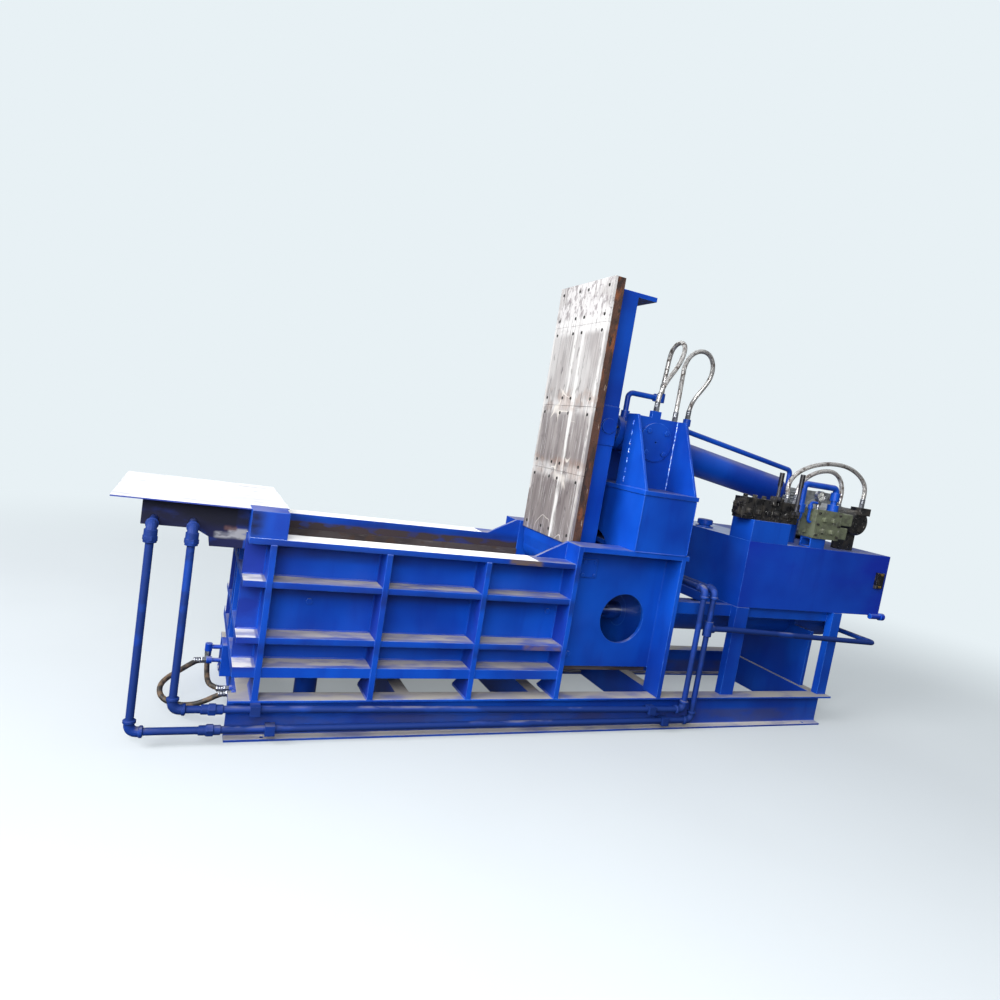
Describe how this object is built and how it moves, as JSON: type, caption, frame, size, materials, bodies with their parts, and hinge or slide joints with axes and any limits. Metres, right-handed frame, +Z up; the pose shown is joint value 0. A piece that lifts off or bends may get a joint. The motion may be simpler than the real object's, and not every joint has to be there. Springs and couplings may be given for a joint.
{
  "type": "recycling baler",
  "caption": "Hydraulic scrap metal baler with a ribbed press chamber, a hinged pressing lid worked by a trunnion cylinder, a horizontal main ram and an oil tank on a stand.",
  "frame": {"origin": "on the floor, midway between the four anchor holes of the base beams", "axes": "+X along the machine from the lock end to the tank end, +Y across it away from the pipe side, +Z up"},
  "size_m": [4.829, 1.059, 2.56],
  "materials": {
    "blue_paint": "royal blue brushed enamel, worn and dusty on top faces",
    "blue_paint_dusty": "royal blue enamel under grey dust",
    "worn_tray": "paint worn off to bare bright steel on the top face",
    "wear_steel": "scratched bare wear plate with pale scuffs",
    "rusty_steel": "mill scale and brown rust on a bare plate edge",
    "liner_steel": "dark brown worn liner plate",
    "ground_rod": "ground and plated rod",
    "black_casting": "black painted casting under oil and dust",
    "olive_casting": "olive grey painted valve casting",
    "grey_casting": "mid grey painted casting",
    "black_grip": "black lever with moulded grip",
    "silver_braid": "bright wire braid over rubber hose",
    "black_rubber": "plain black rubber hose, dusty",
    "gauge_steel": "stainless gauge case with a white dial",
    "needle_black": "black pointer",
    "bright_bolts": "bolt heads painted over in royal blue",
    "sight_black": "black framed sight glass"
  },
  "bodies": {
    "frame": {"base_beam_far": "blue_paint_dusty", "base_beam_near": "blue_paint_dusty", "chamber_floor": "liner_steel", "chamber_liners": "liner_steel", "control_block": "olive_casting", "cross_beams": "blue_paint", "crossover_pipe": "blue_paint", "drive_motor": "grey_casting", "ejector_cylinder": "blue_paint", "end_wall": "blue_paint", "far_wall": "blue_paint_dusty", "hex_bolts": "bright_bolts", "hinge_keepers": "blue_paint", "hinge_pin": "ground_rod", "hose_block": "silver_braid", "hose_ejector_lower": "black_rubber", "hose_ejector_upper": "black_rubber", "hose_lid_front": "silver_braid", "hose_lid_rear": "silver_braid", "hose_pump": "silver_braid", "level_gauge": "sight_black", "lock_cylinder": "blue_paint", "lock_housing": "blue_paint", "lock_pipe_lower": "blue_paint", "lock_pipe_upper": "blue_paint", "lock_tray": "worn_tray", "main_cylinder": "blue_paint", "near_wall": "blue_paint_dusty", "pipe_clamps": "blue_paint", "pressure_gauge": "gauge_steel", "pump": "black_casting", "pump_bracket": "blue_paint", "ram_mounts": "blue_paint", "ram_pipe": "blue_paint", "side_plate_far": "blue_paint", "side_plate_near": "blue_paint", "tank": "blue_paint", "tank_fittings": "blue_paint", "tank_stand": "blue_paint", "tower_box": "blue_paint", "trunnion_covers": "blue_paint", "trunnion_post_far": "blue_paint", "trunnion_post_near": "blue_paint", "valve_bank": "black_casting", "valve_box": "blue_paint"},
    "lid": {"lid_plate": "rusty_steel", "lid_wear_plates": "wear_steel", "lid_frame": "blue_paint"},
    "lid_cylinder": {"lid_cylinder_barrel": "blue_paint", "lid_cylinder_gland": "blue_paint", "lid_cylinder_pipes": "blue_paint"},
    "lid_rod": {"lid_rod": "ground_rod", "lid_rod_pin": "ground_rod"},
    "ram": {"ram_platen": "liner_steel", "main_rod": "ground_rod"},
    "lock_wedge": {"lock_wedge": "blue_paint"},
    "ejector": {"ejector_plate": "liner_steel"},
    "lever_left": {"valve_lever_left": "black_grip"},
    "lever_right": {"valve_lever_right": "black_grip"},
    "needle": {"gauge_needle": "needle_black"}
  },
  "joints": [
    {"name": "lid_hinge", "type": "hinge", "parent": "frame", "child": "lid", "pos_m": [-0.055, 0, 0.925], "axis": [0, 1, 0], "range_deg": [-90, 0]},
    {"name": "lid_cylinder_swing", "type": "hinge", "parent": "frame", "child": "lid_cylinder", "pos_m": [0.34, 0, 1.7], "axis": [0, 1, 0], "range_deg": [-38.63, 0], "deforming": ["hose_lid_rear", "hose_lid_front"]},
    {"name": "lid_rod_slide", "type": "slide", "parent": "lid_cylinder", "child": "lid_rod", "axis": [-0.9902, 0, 0.1398], "range_m": [0, 1.0717]},
    {"name": "main_ram_slide", "type": "slide", "parent": "frame", "child": "ram", "axis": [-1, 0, 0], "range_m": [0, 1.08]},
    {"name": "lock_slide", "type": "slide", "parent": "frame", "child": "lock_wedge", "axis": [1, 0, 0], "range_m": [0, 0.12]},
    {"name": "ejector_slide", "type": "slide", "parent": "frame", "child": "ejector", "axis": [0, 0, 1], "range_m": [0, 0.18]},
    {"name": "left_lever_tilt", "type": "hinge", "parent": "frame", "child": "lever_left", "pos_m": [1.17, -0.444, 1.478], "axis": [1, 0, 0], "range_deg": [-10, 10], "stiffness_Nm_per_rad": 30},
    {"name": "right_lever_tilt", "type": "hinge", "parent": "frame", "child": "lever_right", "pos_m": [1.345, -0.444, 1.4], "axis": [1, 0, 0], "range_deg": [-10, 10], "stiffness_Nm_per_rad": 30},
    {"name": "gauge_needle_turn", "type": "hinge", "parent": "frame", "child": "needle", "pos_m": [1.56, -0.42, 1.535], "axis": [0, 1, 0], "range_deg": [0, 270]}
  ],
  "couplings": [
    {"joint": "lid_cylinder_swing", "follows": "lid_hinge", "ratio": 0.42916},
    {"joint": "lid_rod_slide", "follows": "lid_hinge", "m_per_rad": -0.68215}
  ]
}
